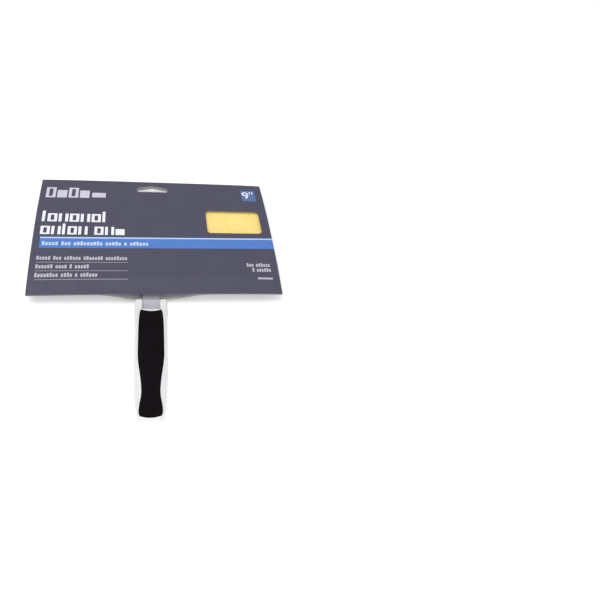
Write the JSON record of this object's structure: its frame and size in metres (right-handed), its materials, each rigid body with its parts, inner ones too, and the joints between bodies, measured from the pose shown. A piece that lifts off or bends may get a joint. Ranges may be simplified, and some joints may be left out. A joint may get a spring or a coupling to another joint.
{
  "type": "paint pad in card sleeve",
  "caption": "Flat paint pad with a slanted yellow flocked face and a swivelling soft-grip handle, in a windowed card sleeve that slides off.",
  "frame": {"origin": "under the middle of the whole tool in its sleeve, on the surface that it lies on", "axes": "+Y runs from the handle's end to the sleeve's top, +Z out of the painting face, +X along the pad to the right"},
  "size_m": [0.256, 0.3311, 0.0246],
  "materials": {
    "printed_card": "printed paperboard with a light gloss",
    "yellow_flock": "short dense nylon flock",
    "pale_foam": "open-cell foam",
    "white_plastic": "moulded plastic with a satin surface",
    "grey_plastic": "moulded plastic with a satin surface",
    "spring_steel": "bright zinc",
    "nylon": "natural nylon",
    "black_rubber": "soft moulded rubber"
  },
  "bodies": {
    "pad": {"pad_base": "white_plastic", "foam_pad": "pale_foam", "flocked_face": "yellow_flock"},
    "sleeve": {"card_sleeve": "printed_card"},
    "shoe": {"swivel_arm": "grey_plastic", "retaining_spring": "spring_steel"},
    "handle": {"handle_body": "white_plastic", "back_cover": "white_plastic", "cover_screws": "spring_steel", "soft_grip": "black_rubber", "pivot_pin": "spring_steel", "push_nut": "spring_steel", "friction_washers": "nylon"}
  },
  "joints": [
    {"name": "sleeve_slide", "type": "slide", "parent": "pad", "child": "sleeve", "axis": [0, 1, 0], "range_m": [0, 0.2]},
    {"name": "handle_release", "type": "slide", "parent": "pad", "child": "shoe", "axis": [-0.0192, -0.9998, 0], "range_m": [0, 0.1]},
    {"name": "handle_swivel", "type": "hinge", "parent": "shoe", "child": "handle", "pos_m": [-0.00787, -0.02631, 0.0084], "axis": [-0.9998, 0.0192, 0], "range_deg": [-80, 80]}
  ]
}
